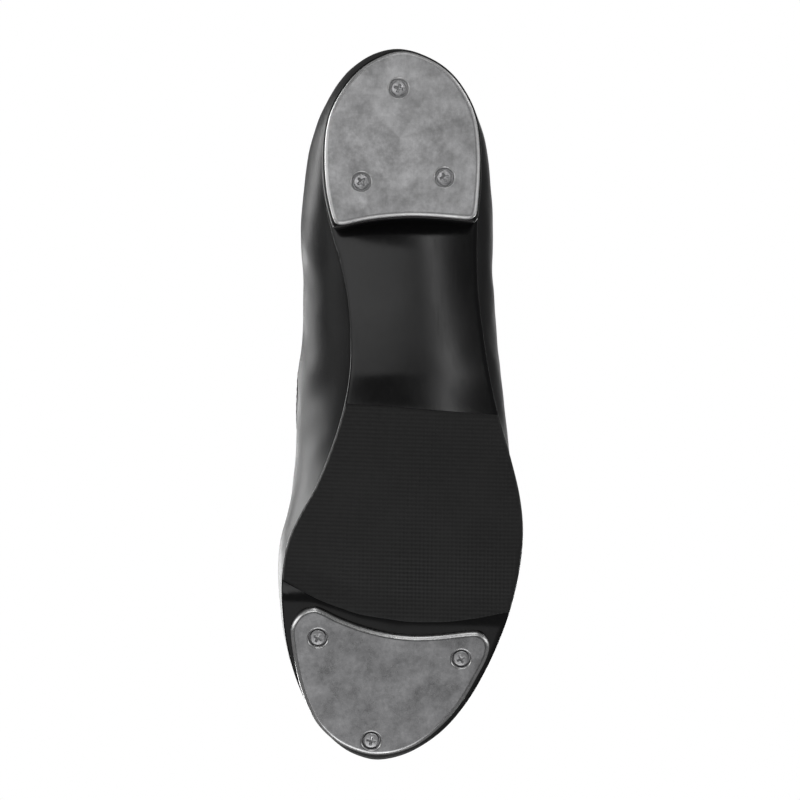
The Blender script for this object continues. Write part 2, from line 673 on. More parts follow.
MATERIALS = {
    "leather": leather(),
    "binding": tape("binding_tape", grey(0.0022), grey(0.010), pitch=BINDING_RIB,
                    rough=0.78, sheen=0.25),
    "ribbon": tape("grosgrain", grey(0.003, 0.0032), grey(0.014, 0.015), pitch=RIBBON_RIB,
                   rough=0.7, sheen=0.3),
    "thread": tape("thread", grey(0.008), grey(0.022), pitch=0.35, rough=0.6, sheen=0.3),
    "lining": cloth("knit_lining", grey(0.018, 0.019), grey(0.05, 0.052), pitch=0.9),
    "sock": cloth("sock_cloth", grey(0.012), grey(0.035, 0.036), pitch=1.1),
    "gloss": gloss("sole_gloss", grey(0.0045, 0.005), grey(0.009), rough=(0.13, 0.19),
                   scuff=0.05),
    "lacquer": gloss("heel_lacquer", grey(0.006, 0.0065), grey(0.011), rough=(0.30, 0.40),
                     scuff=0.1),
    "rubber": rubber(),
    "heel_alloy": alloy("heel_tap_alloy", grey(0.40, 0.405), grey(0.74, 0.75),
                        rough=(0.34, 0.46), scratch=1.0, facing=(0.0, 0.0, -1.0)),
    "toe_alloy": alloy("toe_tap_alloy", grey(0.24, 0.245), grey(0.52, 0.53),
                       rough=(0.16, 0.26), scratch=0.35, facing=(TAP_SIN, 0.0, -TAP_COS)),
    "screw": metal("plated_screw", grey(0.66, 0.67), rough=(0.24, 0.42)),
    "nickel": metal("bright_nickel", grey(0.72, 0.73), rough=(0.10, 0.20)),
    "shank": metal("blued_steel", (0.16, 0.17, 0.20), rough=(0.3, 0.45)),
    "fibre": board("fibreboard", (0.16, 0.10, 0.055), (0.30, 0.21, 0.13), scale=0.35),
    "cork": board("cork", (0.12, 0.07, 0.035), (0.34, 0.22, 0.12), scale=0.8),
    "stiffener": board("stiffener", (0.28, 0.24, 0.18), (0.42, 0.38, 0.30), scale=0.5),
    "film": film(),
}


# ---------------------------------------------------------------- mesh helpers
def piece(name, mesh, material, body, replaces=None, coords=None, sharp=None):
    """An object from (vertices, faces), tied to its CAD body, node and material slot."""
    vertices, faces = mesh
    data = bpy.data.meshes.new(name)
    data.from_pydata((np.asarray(vertices, float) * MM).tolist(), [],
                     [tuple(int(i) for i in face) for face in faces])
    data.validate()
    if coords is not None:
        attribute = data.attributes.new("tc", "FLOAT_VECTOR", "POINT")
        attribute.data.foreach_set("vector", np.asarray(coords, np.float32).ravel())
    data.shade_smooth()
    if sharp is not None:
        data.set_sharp_from_angle(angle=math.radians(sharp))
    data.materials.append(MATERIALS[material])
    obj = bpy.data.objects.new(name, data)
    bpy.context.scene.collection.objects.link(obj)
    bpy.context.view_layer.update()
    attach(obj, body)
    if replaces:
        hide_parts(replaces)
    return obj


def fix_normals(obj, weld=False):
    bm = bmesh.new()
    bm.from_mesh(obj.data)
    if weld:
        bmesh.ops.remove_doubles(bm, verts=bm.verts, dist=0.004 * MM)
        bmesh.ops.dissolve_degenerate(bm, edges=bm.edges, dist=0.001 * MM)
    bmesh.ops.recalc_face_normals(bm, faces=bm.faces)
    bm.to_mesh(obj.data)
    bm.free()


def loft(rings, close_ring=True, close_path=False, caps=True):
    """Vertices and faces over equal rings."""
    n, m = len(rings), len(rings[0])
    faces = []
    for i in range(n if close_path else n - 1):
        a, b = i * m, ((i + 1) % n) * m
        for j in range(m if close_ring else m - 1):
            k = (j + 1) % m
            faces.append((a + j, a + k, b + k, b + j))
    if caps and close_ring and not close_path:
        faces.append(tuple(range(m - 1, -1, -1)))
        faces.append(tuple((n - 1) * m + j for j in range(m)))
    return np.vstack(rings), faces


def revolve(profile, centre, axis, segments, closed=True):
    """(radius, height) points turned about an axis."""
    axis = unit(axis)
    u = unit(np.cross(axis, [0, 0, 1] if abs(axis[2]) < 0.9 else [1, 0, 0]))
    v = np.cross(axis, u)
    rings = []
    for k in range(segments):
        angle = TURN * k / segments
        out = u * math.cos(angle) + v * math.sin(angle)
        rings.append(np.array([centre + out * r + axis * h for r, h in profile]))
    return loft(rings, close_ring=closed, close_path=True, caps=False)


def join(parts):
    vertices, faces, start = [], [], 0
    for part_vertices, part_faces in parts:
        vertices.append(part_vertices)
        faces += [tuple(i + start for i in face) for face in part_faces]
        start += len(part_vertices)
    return np.vstack(vertices), faces


# ---------------------------------------------------------------- upper and lining
EYELET_NODES = ("eyelet_lateral", "eyelet_medial")
EYELET_CUT = 3.1                    # radius of the holes, hidden by the eyelets' flanges


def eyelet_place(node):
    """Point on the skin over a CAD eyelet's middle, and the skin's normal there."""
    low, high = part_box(node)
    centre = np.array((Vector(low) + Vector(high)) * 500)
    nearest = np.argmin(np.linalg.norm(SKIN - centre, axis=1))
    near = np.argsort(np.linalg.norm(SKIN - SKIN[nearest], axis=1))[:60]
    normal = unit(NORMALS[near].mean(0))
    surface = SKIN[near[:9]].mean(0)
    return centre + normal * float(np.dot(surface - centre, normal)), normal


EYELETS = [eyelet_place(node) for node in EYELET_NODES]


def shell(outer_depth, inner_depth):
    """A closed layer between two depths below the skin, with the eyelet holes cut."""
    n = len(SKIN)
    vertices = np.vstack([skin_at_depth(outer_depth), skin_at_depth(inner_depth)])
    faces = QUADS + [(n + q[3], n + q[2], n + q[1], n + q[0]) for q in QUADS]
    for c in range(COLUMNS):
        a, b = skin_index(c, 0), skin_index(c + 1, 0)
        faces.append((a, b, n + b, n + a))
    for k in range(len(EDGE)):
        a, b = skin_index(*EDGE[k]), skin_index(*EDGE[(k + 1) % len(EDGE)])
        faces.append((b, a, n + a, n + b))

    centres = np.array([vertices[list(f)].mean(0) for f in faces])
    in_hole = np.zeros(len(faces), bool)
    for point, normal in EYELETS:
        offset = centres - point
        height = offset @ normal
        radius = np.linalg.norm(offset - height[:, None] * normal, axis=1)
        in_hole |= (radius < EYELET_CUT) & (np.abs(height) < 4)
    return vertices, [f for f, cut in zip(faces, in_hole) if not cut]


def stiffener_room():
    """0 to 1: how far the lining is pushed in round the heel and the toe."""
    # Coarse rows: 0 in the margin, 1 to 8 up the side, 9 on the strap
    step = SIDE_STEPS[np.clip(ROW - MARGIN_ROWS, 0, len(SIDE_STEPS) - 1)]
    row = 1 + np.interp(step, [0, 0.1, 0.24, 0.4, 0.56, 0.72, 0.87, 1], np.arange(8))
    row[ROW < MARGIN_ROWS] = 0
    row[ROW >= BASE_ROWS] = 9
    column = COLUMN / STATION_COLUMNS * 2       # in half stations
    from_toe = np.abs(column - 2 * LAST_STATION)
    from_heel = np.minimum(column, 4 * LAST_STATION - column)

    def within(low, high):
        return np.clip(row - (low - 1), 0, 1) * np.clip(high + 1 - row, 0, 1)

    return np.maximum(within(2, 6) * np.clip(9 - from_heel, 0, 1),
                      within(2, 5) * np.clip(7 - from_toe, 0, 1))


fix_normals(piece("upper_skin", shell(0, UPPER_THICK), "leather", "shoe",
                  replaces="upper"))
lining_depth = UPPER_THICK + LINING_GAP + stiffener_room() * 0.9
fix_normals(piece("lining_cloth", shell(lining_depth, lining_depth + LINING_THICK), "lining",
                  "shoe", replaces="lining"))

# ---------------------------------------------------------------- top line binding
BINDING_WIDTH = 4.0
BINDING_HALF_THICK = 0.28
# Middle of the folded tape: distance in from the edge, height over the skin
BINDING_FOLD = np.array([
    (4.0, 0.32), (3.0, 0.36), (2.0, 0.38), (1.0, 0.40), (0.3, 0.40), (-0.35, 0.12),
    (-0.72, -0.5), (-0.8, -EDGE_STACK / 2), (-0.72, -EDGE_STACK + 0.5),
    (-0.35, -EDGE_STACK - 0.12), (0.3, -EDGE_STACK - 0.40), (1.5, -EDGE_STACK - 0.42),
    (3.0, -EDGE_STACK - 0.42), (4.0, -EDGE_STACK - 0.38)])


def inner_neighbour(column, row):
    """The grid point next in from an edge point."""
    step = 0
    if column in (STRAP_UPPER_COLUMN, COLUMNS - STRAP_LOWER_COLUMN):
        step = 1
    elif column in (STRAP_LOWER_COLUMN, COLUMNS - STRAP_UPPER_COLUMN):
        step = -1
    at_end = row in (BASE_ROWS - 1, BASE_ROWS + STRAP_ROWS - 1)
    return column + step, row - 1 if at_end else row


def onto_skin(points):
    tree = KDTree(len(SKIN))
    for i, point in enumerate(SKIN):
        tree.insert(point, i)
    tree.balance()
    placed, normals = np.array(points, float), np.zeros_like(points)
    for i, point in enumerate(points):
        hits = tree.find_n(point, 6)
        weights = np.array([1 / (distance + 0.2) for _, _, distance in hits])
        weights /= weights.sum()
        surface = sum(w * np.array(hit[0]) for w, hit in zip(weights, hits))
        normal = unit(sum(w * NORMALS[hit[1]] for w, hit in zip(weights, hits)))
        placed[i] = point + normal * np.dot(surface - point, normal)
        normals[i] = normal
    return placed, normals


edge_points = np.array([SKIN[skin_index(*e)] for e in EDGE])
edge_normals = np.array([NORMALS[skin_index(*e)] for e in EDGE])
edge_inward = unit(np.array([SKIN[skin_index(*inner_neighbour(*e))] for e in EDGE]) - edge_points)
edge_lengths = loop_lengths(edge_points)
edge_length = edge_lengths[-1]
ring_count = int(round(edge_length / BINDING_RIB)) * 4
ring_at = np.arange(ring_count) / ring_count * edge_length
ring_step = edge_length / ring_count


def along_edge(values, blur):
    """Edge values at the tape's rings, smoothed over a length."""
    return blur_loop(resample_loop(values, edge_lengths, ring_count), blur / ring_step)


# The tape's frame along the edge, and its far edge laid on the skin
tape_edge = along_edge(edge_points, blur=0.7)
tape_normal = unit(along_edge(edge_normals, blur=1.2))
tape_inward = along_edge(edge_inward, blur=1.6)
tape_along = loop_tangents(tape_edge)
tape_inward = unit(tape_inward - tape_along * dots(tape_inward, tape_along))
tape_normal = unit(tape_normal - tape_along * dots(tape_normal, tape_along)
                   - tape_inward * dots(tape_normal, tape_inward))
far_edge, far_normal = onto_skin(tape_edge + tape_inward * BINDING_WIDTH)
far_edge = blur_loop(far_edge, 1.8 / ring_step)
far_normal = unit(blur_loop(far_normal, 1.8 / ring_step))


def binding():
    fold = BINDING_FOLD
    direction = unit(np.vstack([fold[1] - fold[0], fold[2:] - fold[:-2], fold[-1] - fold[-2]]))
    normal = np.stack([direction[:, 1], -direction[:, 0]], 1)
    outer = fold + normal * BINDING_HALF_THICK
    inner = (fold - normal * BINDING_HALF_THICK * 0.9)[::-1]
    profile = [(b, h, True) for b, h in outer] + [(b, h, False) for b, h in inner]
    inward = unit(far_edge - tape_edge)
    rib_wave = np.cos(TURN * np.arange(ring_count) / 4)
    rings, coords = [], []
    for k in range(ring_count):
        rib = 0.055 * rib_wave[k]
        ring = []
        for b, height, is_outer in profile:
            t = max(0.0, b) / BINDING_WIDTH
            if b >= 0:
                base = tape_edge[k] + (far_edge[k] - tape_edge[k]) * t
            else:
                base = tape_edge[k] + inward[k] * b
            coords.append((ring_at[k], b if is_outer else -b, 0))
            if is_outer and b > -0.3:
                height += rib if height > -EDGE_STACK / 2 else -rib
            elif is_outer:
                base = base - inward[k] * rib
            ring.append(base + unit(tape_normal[k] * (1 - t) + far_normal[k] * t) * height)
        rings.append(np.array(ring))
    fix_normals(piece("topline_tape", loft(rings, close_path=True), "binding", "shoe",
                      replaces="topline_binding", coords=coords))


STITCH_LENGTH, STITCH_GAP, STITCH_RADIUS = 1.9, 0.75, 0.21
STITCH_PLACE = 0.80                 # part of the way to the tape's far edge
STITCH_HEIGHT = 0.74
STITCH_SINK = 0.34                  # how far the ends dip


def stitches():
    parts, coords = [], []
    count = int(edge_length // (STITCH_LENGTH + STITCH_GAP))
    for stitch in range(count):
        first = int((stitch + 0.1) / count * ring_count)
        rings = []
        for m in range(7):
            t = m / 6
            k = (first + int(round(t * STITCH_LENGTH / ring_step))) % ring_count
            radius = STITCH_RADIUS * (1 - 0.75 * (2 * t - 1) ** 8)
            normal = unit(tape_normal[k] * 0.2 + far_normal[k] * 0.8)
            side = unit(np.cross(normal, tape_along[k]))
            centre = (tape_edge[k] + (far_edge[k] - tape_edge[k]) * STITCH_PLACE
                      + normal * (STITCH_HEIGHT - STITCH_SINK * (2 * t - 1) ** 4))
            rings.append(np.array([
                centre + side * math.cos(a) * radius + normal * math.sin(a) * radius
                for a in np.linspace(0, TURN, 8, endpoint=False)]))
            coords += [(m * 0.3, j * 0.1, 0) for j in range(8)]
        parts.append(loft(rings))
    piece("tape_stitches", join(parts), "thread", "shoe", coords=coords)


binding()
stitches()

# ---------------------------------------------------------------- outsole
SOLE_POINTS = 420
SOLE_EDGE = 0.55                    # rounding of the lower edge; the upper edge has less
SOLE_TOP_EDGE = SOLE_EDGE * 0.6


def sole_top_z(x, y):
    return last_z(x, y) - 0.12


def sole_bottom_z(x, y):
    return sole_z(x, y) - waist_arch(x, y)


def outsole():
    outline = closed_curve(OUTLINE, np.linspace(0, len(OUTLINE), SOLE_POINTS, endpoint=False))
    spine_x = np.clip(outline[:, 0], -8, 178)
    spine = np.stack([spine_x, middle_y(spine_x)], 1)
    inner = inset_loop(outline, SOLE_EDGE)
    steps = np.append(np.linspace(0, 0.9, 26), 0.95)

    def ring(line, height, lift=0.0):
        return np.column_stack([line, height(line[:, 0], line[:, 1]) + lift])

    def rounded(height, radius, angle, sign):
        a = math.radians(angle)
        return ring(inset_loop(outline, radius * (1 - math.sin(a))), height,
                    sign * radius * (1 - math.cos(a)))

    rings = [ring(spine + (inner - spine) * t, sole_bottom_z) for t in steps]
    rings += [rounded(sole_bottom_z, SOLE_EDGE, a, 1) for a in (0, 22, 45, 68, 90)]
    rings += [rounded(sole_top_z, SOLE_TOP_EDGE, a, -1) for a in (90, 60, 30, 0)]
    rings += [ring(spine + (inner - spine) * t, sole_top_z) for t in steps[::-1]]
    fix_normals(piece("outsole_body", loft(rings, caps=False), "gloss", "shoe",
                      replaces="outsole"), weld=True)


outsole()

# ---------------------------------------------------------------- ribbed forefoot pad
PAD_STEPS_X, PAD_STEPS_Y = 262, 300
PAD_THICK, PAD_RIB_HEIGHT = 1.78, 0.22
PAD_RIB, PAD_RIB_CROSS = 1.35, 0.95     # rib pitch along the shoe, and of the bumps across it
PAD_RIB_LEAN = 0.035                    # radians
PAD_EDGE_INSET = 0.35
# y, x of the pad's rear and front edges
PAD_REAR = np.array([[-45, 92.9], [-33.6, 92.4], [0, 90.6], [18, 89.4], [45, 88.6]], float)
PAD_FRONT = np.array([
    [-45, 157.5], [-36.6, 159.2], [-28, 161], [-17.7, 162.3], [-4.7, 162.3], [12.5, 159.7],
    [25.4, 155], [34, 150.2], [45, 143.5]], float)


def pad_edge_x(table, y):
    """The x of a pad edge at y, with its corners averaged away."""
    at = np.linspace(-45, 45, 200)
    padded = np.pad(np.interp(at, table[:, 0], table[:, 1]), 8, mode="edge")
    return np.interp(y, at, np.convolve(padded, np.ones(17) / 17, "valid"))


def forefoot_pad():
    along, across = np.meshgrid(np.linspace(0, 1, PAD_STEPS_X + 1),
                                np.linspace(0, 1, PAD_STEPS_Y + 1), indexing="ij")
    nominal_y = (-1 + 2 * across) * 38
    x = pad_edge_x(PAD_REAR, nominal_y) * (1 - along) + pad_edge_x(PAD_FRONT, nominal_y) * along
    low_y, high_y = lateral_y(x) + PAD_EDGE_INSET, medial_y(x) - PAD_EDGE_INSET
    y = low_y + (high_y - low_y) * across

    lean_x = x * math.cos(PAD_RIB_LEAN) + y * math.sin(PAD_RIB_LEAN)
    lean_y = -x * math.sin(PAD_RIB_LEAN) + y * math.cos(PAD_RIB_LEAN)
    rib = 0.5 + 0.5 * np.cos(TURN * lean_x / PAD_RIB)
    bumps = 0.5 + 0.5 * np.cos(TURN * lean_y / PAD_RIB_CROSS)
    # Distance to the rim, from the pad's nominal length and width of 68 and 72
    rim_distance = np.minimum(np.minimum(along * 68, (1 - along) * 68),
                              np.minimum(across * 72, (1 - across) * 72))
    height = (0.70 * rib ** 0.8 + 0.30 * rib * bumps) * smoothstep((rim_distance - 0.5) / 1.0)
    rim_curve = (1 - np.clip(rim_distance / 0.8, 0, 1)) ** 2
    rim_round = 0.55 * (1 - np.sqrt(np.clip(1 - rim_curve, 0, 1)))
    seat = sole_z(x, y) - waist_arch(x, y) * 0.6
    bottom = seat - PAD_THICK - PAD_RIB_HEIGHT * height + rim_round
    low = np.stack([x, y, bottom], -1).reshape(-1, 3)
    top = np.stack([x, y, seat - 0.05], -1)

    def index(i, j):
        return i * (PAD_STEPS_Y + 1) + j

    faces = [(index(i, j), index(i + 1, j), index(i + 1, j + 1), index(i, j + 1))
             for i in range(PAD_STEPS_X) for j in range(PAD_STEPS_Y)]
    rim = [(i, 0) for i in range(PAD_STEPS_X)]
    rim += [(PAD_STEPS_X, j) for j in range(PAD_STEPS_Y)]
    rim += [(i, PAD_STEPS_Y) for i in range(PAD_STEPS_X, 0, -1)]
    rim += [(0, j) for j in range(PAD_STEPS_Y, 0, -1)]
    start, count = len(low), len(rim)
    for k in range(count):
        a, b = index(*rim[k]), index(*rim[(k + 1) % count])
        faces.append((b, a, start + k, start + (k + 1) % count))
    faces.append(tuple(start + k for k in range(count)))
    coords = np.zeros((start + count, 3))
    coords[:start, 0] = height.ravel()
    vertices = np.vstack([low, [top[i, j] for i, j in rim]])
    piece("ribbed_pad", (vertices, faces), "rubber", "shoe",
          replaces="forefoot_pad", coords=coords, sharp=55)


forefoot_pad()

# ---------------------------------------------------------------- heel
# x, y round the heel from its rearmost point, by the lateral side
HEEL = np.array([
    [-30, -0.8], [-28.6, -7], [-24.5, -14.8], [-18, -21], [-8, -26], [4, -27.6], [16, -27.4],
    [28.2, -26.3], [27.1, -14], [26.7, -3], [27.8, 9.8], [30.5, 22.2], [18, 25], [4, 25.7],
    [-8, 24], [-18, 18.6], [-24.5, 12.4], [-28.6, 5]])
HEEL_BREAST_FIRST, HEEL_BREAST_LAST = 7, 11     # corners of the front face
HEEL_LIP = 0.9                                  # height of the rounded lower edge


def heel_path(inset=0.0, corner=1.6):
    back = np.vstack([HEEL[HEEL_BREAST_LAST:], HEEL[:HEEL_BREAST_FIRST + 1]])
    breast = HEEL[HEEL_BREAST_FIRST:HEEL_BREAST_LAST + 1]
    path = np.vstack([open_curve(back, np.linspace(0, len(back) - 1, 200)),
                      open_curve(breast, np.linspace(0, len(breast) - 1, 60))[1:-1]])
    lengths, count = loop_lengths(path), 420
    path = blur_loop(resample_loop(path, lengths, count), corner / (lengths[-1] / count))
    return inset_loop(path, inset)


def heel_top_z(path):
    return sole_z(np.clip(path[:, 0], -30, 40), path[:, 1]) - 0.05


def heel_block():
    rings = []
    for inset, height in ((8, 0), (0.9, 0), (0.35, 0.12), (0.08, 0.4), (0.0, HEEL_LIP)):
        path = heel_path(inset)
        rings.append(np.column_stack([path, np.full(len(path), TAP_THICK + height)]))
    low = TAP_THICK + HEEL_LIP
    for t in (0.12, 0.3, 0.5, 0.7, 0.88):
        path = heel_path(0.22 * math.sin(math.pi * t))
        rings.append(np.column_stack([path, low + (heel_top_z(path) - 0.5 - low) * t]))
    for inset, depth in ((0.0, 0.45), (0.08, 0.2), (0.3, 0.04), (0.9, 0.0), (8, 0.0)):
        path = heel_path(inset)
        rings.append(np.column_stack([path, heel_top_z(path) - depth]))
    fix_normals(piece("heel_body", loft(rings), "lacquer", "shoe",
                      replaces="heel_block", sharp=60))


heel_block()

# ---------------------------------------------------------------- taps
# x, y round the toe tap, from its rear medial end
TOE_TAP = np.array([
    [157.4, 28.9], [159, 33], [163.6, 36.2], [170, 36.1], [182.6, 33.7], [192, 30.4],
    [198.5, 26.6], [204.1, 20.4], [207.6, 12.5], [208.4, 5.6], [207, -1.6], [203.3, -8.8],
    [196.4, -16.4], [189.5, -21.8], [181.7, -26.2], [174.8, -29.6], [170, -30.4],
    [166.6, -28.2], [165.8, -24.2], [166.9, -13.4], [167.2, -4.7], [166.2, 3.9], [164, 12.5],
    [161, 20.3], [158.4, 25.4]])
TOE_ORIGIN = np.array([186.0, 3.0])     # x, y of the toe tap plane's origin
# x, y of each screw
TOE_SCREWS = [[167.5, 27.3], [174.8, -20.9], [203.1, 9.2]]
HEEL_SCREWS = [[-16.7, 0.3], [14.6, 12.8], [13.1, -15]]
HEEL_TAP_CENTRE, HEEL_TAP_SCALE = np.array([0, -0.8]), 0.975
# Plate edges from the ground face to the back: inset, height
TOE_TAP_EDGE = [
    (1.7, 0.0), (1.35, 0.03), (1.05, 0.12), (0.75, 0.27), (0.45, 0.50), (0.2, 0.80),
    (0.05, 1.12), (0.0, 1.4), (0.0, 1.85), (0.12, 2.15), (0.4, 2.28)]
HEEL_TAP_EDGE = [
    (1.6, 0.0), (1.28, 0.03), (0.98, 0.11), (0.7, 0.25), (0.42, 0.46), (0.18, 0.75),
    (0.05, 1.05), (0.0, 1.35), (0.0, 1.8), (0.12, 2.1), (0.4, 2.23)]
# Screw cups in a plate, from the rolled lip to the clearance hole: radius, depth
CUP_RIM = 3.8
CUP = [(3.66, 0.02), (3.50, 0.09), (3.35, 0.22), (3.22, 0.42), (3.16, 0.70), (3.14, 1.20),
       (3.02, 1.40), (2.7, 1.45), (1.6, 1.45), (1.55, 1.9)]


def to_toe_plane(points):
    """Shoe x, y to the toe tap's own plane."""
    x, y = (np.asarray(points, float) - TOE_ORIGIN).T
    return np.stack([x / TAP_COS, y], 1)


def from_toe_plane(points):
    x, y, z = points.T
    return np.column_stack([TOE_ORIGIN[0] + x * TAP_COS - z * TAP_SIN, y + TOE_ORIGIN[1],
                            tap_face_z(TOE_ORIGIN[0]) + x * TAP_SIN + z * TAP_COS])


def plate(path, edge, holes):
    """A plate lying on z = 0, with a round cup for each screw in its ground face."""
    bm = bmesh.new()

    def ring(points, z):
        return [bm.verts.new((x, y, z)) for x, y in points]

    def circle(centre, radius, z):
        return ring([(centre[0] + radius * math.cos(a), centre[1] + radius * math.sin(a))
                     for a in np.linspace(0, TURN, 64, endpoint=False)], z)

    def sides(loop):
        return list(zip(loop, loop[1:] + loop[:1]))

    def bridge(first, second):
        for (a, b), (c, d) in zip(sides(first), sides(second)):
            bm.faces.new((a, b, d, c))

    rings = []
    for inset, z in edge:
        line = inset_loop(path, inset)
        rings.append(ring(blur_loop(line, 1.0) if inset > 0.6 else line, z))
    for first, second in zip(rings, rings[1:]):
        bridge(first, second)
    bm.faces.new(rings[-1])
    rims = [circle(hole, CUP_RIM, 0.0) for hole in holes]
    edges = [bm.edges.get(pair) or bm.edges.new(pair)
             for loop in [rings[0]] + rims for pair in sides(loop)]
    bmesh.ops.triangle_fill(bm, use_beauty=True, use_dissolve=False, edges=edges)
    for hole, last in zip(holes, rims):
        for radius, z in CUP:
            following = circle(hole, radius, z)
            bridge(last, following)
            last = following
        bm.faces.new(last)
    bmesh.ops.recalc_face_normals(bm, faces=bm.faces)
    vertices = np.array([v.co[:] for v in bm.verts])
    bm.verts.index_update()
    faces = [tuple(v.index for v in f.verts) for f in bm.faces]
    bm.free()
    return vertices, faces


def tap(name, mesh, material, node):
    obj = piece(name, mesh, material, node, replaces=node, sharp=28)
    modifier = obj.modifiers.new("even_faces", "WEIGHTED_NORMAL")
    modifier.weight = 80
    modifier.keep_sharp = True


def toe_tap():
    path = closed_curve(TOE_TAP, np.linspace(0, len(TOE_TAP), 360, endpoint=False))
    path = to_toe_plane(path)
    path = resample_loop(path, loop_lengths(path), 300)
    vertices, faces = plate(path, TOE_TAP_EDGE, to_toe_plane(TOE_SCREWS))
    tap("toe_plate", (from_toe_plane(vertices), faces), "toe_alloy", "toe_tap")


def heel_tap():
    path = heel_path(corner=2.3)
    path = HEEL_TAP_CENTRE + (path - HEEL_TAP_CENTRE) * HEEL_TAP_SCALE
    path = resample_loop(path, loop_lengths(path), 320)
    tap("heel_plate", plate(path, HEEL_TAP_EDGE, HEEL_SCREWS), "heel_alloy", "heel_tap")


toe_tap()
heel_tap()

# ---------------------------------------------------------------- tap screws
SCREW_SEGMENTS = 72
SCREW_HEAD = 2.6                    # radius
THREAD_PITCH = 0.95


def head_height(radius, angle):
    """The domed head's face, with a cross recess that grows shallower outwards."""
    x, y = np.abs(radius * np.cos(angle)), np.abs(radius * np.sin(angle))

    def arm(across, along):
        return smoothstep((0.42 - across) / 0.16) * smoothstep((1.62 - along) / 0.35)

    recess = 0.85 * np.maximum(arm(x, y), arm(y, x)) * (1 - 0.35 * radius / 1.6)
    face = (0.05 + 0.16 * (radius / SCREW_HEAD) ** 2
            + 0.30 * smoothstep((radius - 2.2) / 0.4) ** 2)
    return np.minimum(face + recess, 1.0)


def screw(turn, length):
    """A screw pointing up, with its head's face near z = 0."""
    angle = TURN * np.arange(SCREW_SEGMENTS) / SCREW_SEGMENTS

    def ring(radius, z):
        return np.column_stack([radius * np.cos(angle + turn), radius * np.sin(angle + turn),
                                np.broadcast_to(z, angle.shape)])

    face_radii = np.concatenate([np.linspace(0.0, 2.0, 19)[1:],
                                 np.linspace(2.0, SCREW_HEAD, 8)[1:]])
    rings = [ring(r, head_height(r, angle)) for r in face_radii]
    # Head's side and underside, then the neck
    rings += [ring(r, z) for r, z in ((SCREW_HEAD, 0.75), (2.55, 1.0), (2.3, 1.05),
                                      (1.25, 1.05), (1.2, 1.15))]
    for z in np.linspace(1.4, length - 1.3, int((length - 2.7) / 0.18)):
        phase = (z / THREAD_PITCH - angle / TURN) % 1.0
        rings.append(ring(0.92 + 0.28 * (1 - abs(2 * phase - 1)) ** 1.5, z))
    rings += [ring(0.75, length - 0.8), ring(0.25, length - 0.05)]

    vertices, sides = loft(rings, caps=False)
    n, point = SCREW_SEGMENTS, len(vertices) + 1
    faces = [(0, 1 + (k + 1) % n, 1 + k) for k in range(n)]
    faces += [tuple(i + 1 for i in side) for side in sides]
    faces += [(point - n + k, point - n + (k + 1) % n, point) for k in range(n)]
    vertices = np.vstack([[0, 0, 0.9], vertices, [0, 0, length]]) + [0, 0, 0.1]
    vertices[:, 2] = np.minimum(vertices[:, 2], length)
    return vertices, faces


def screw_set(places, turns, length):
    parts = []
    for (x, y), turn in zip(places, turns):
        vertices, faces = screw(turn, length)
        parts.append((vertices + [x, y, 0], faces))
    return join(parts)


vertices, faces = screw_set(to_toe_plane(TOE_SCREWS), turns=(0.5, 1.1, 0.2), length=5.4)
fix_normals(piece("toe_plate_screws", (from_toe_plane(vertices), faces), "screw", "shoe",
                  replaces="toe_tap_screws", sharp=50))
fix_normals(piece("heel_plate_screws",
                  screw_set(HEEL_SCREWS, turns=(0.3, 0.9, 1.3), length=11.5), "screw", "shoe",
                  replaces="heel_tap_screws", sharp=50))

# ---------------------------------------------------------------- eyelets
FLANGE, HOLE = 4.0, 2.6             # radii
# radius, height over the skin: the flange, the barrel and the curl behind
EYELET_PROFILE = [
    (HOLE, 0.55), (HOLE + 0.1, 0.78), (HOLE + 0.4, 0.98), (HOLE + 0.8, 1.02),
    (FLANGE - 0.5, 0.86), (FLANGE - 0.12, 0.62), (FLANGE, 0.36), (FLANGE - 0.15, 0.25),
    (HOLE + 0.5, 0.25), (HOLE + 0.45, -2.6), (FLANGE - 0.7, -2.75), (FLANGE - 0.5, -2.95),
    (FLANGE - 0.8, -3.12), (HOLE + 0.2, -3.05), (HOLE, -2.8)]
for (point, normal), node in zip(EYELETS, EYELET_NODES):
    fix_normals(piece(node.replace("eyelet", "eyelet_ring"),
                      revolve(EYELET_PROFILE, point, normal, segments=72), "nickel", "shoe",
                      replaces=node))


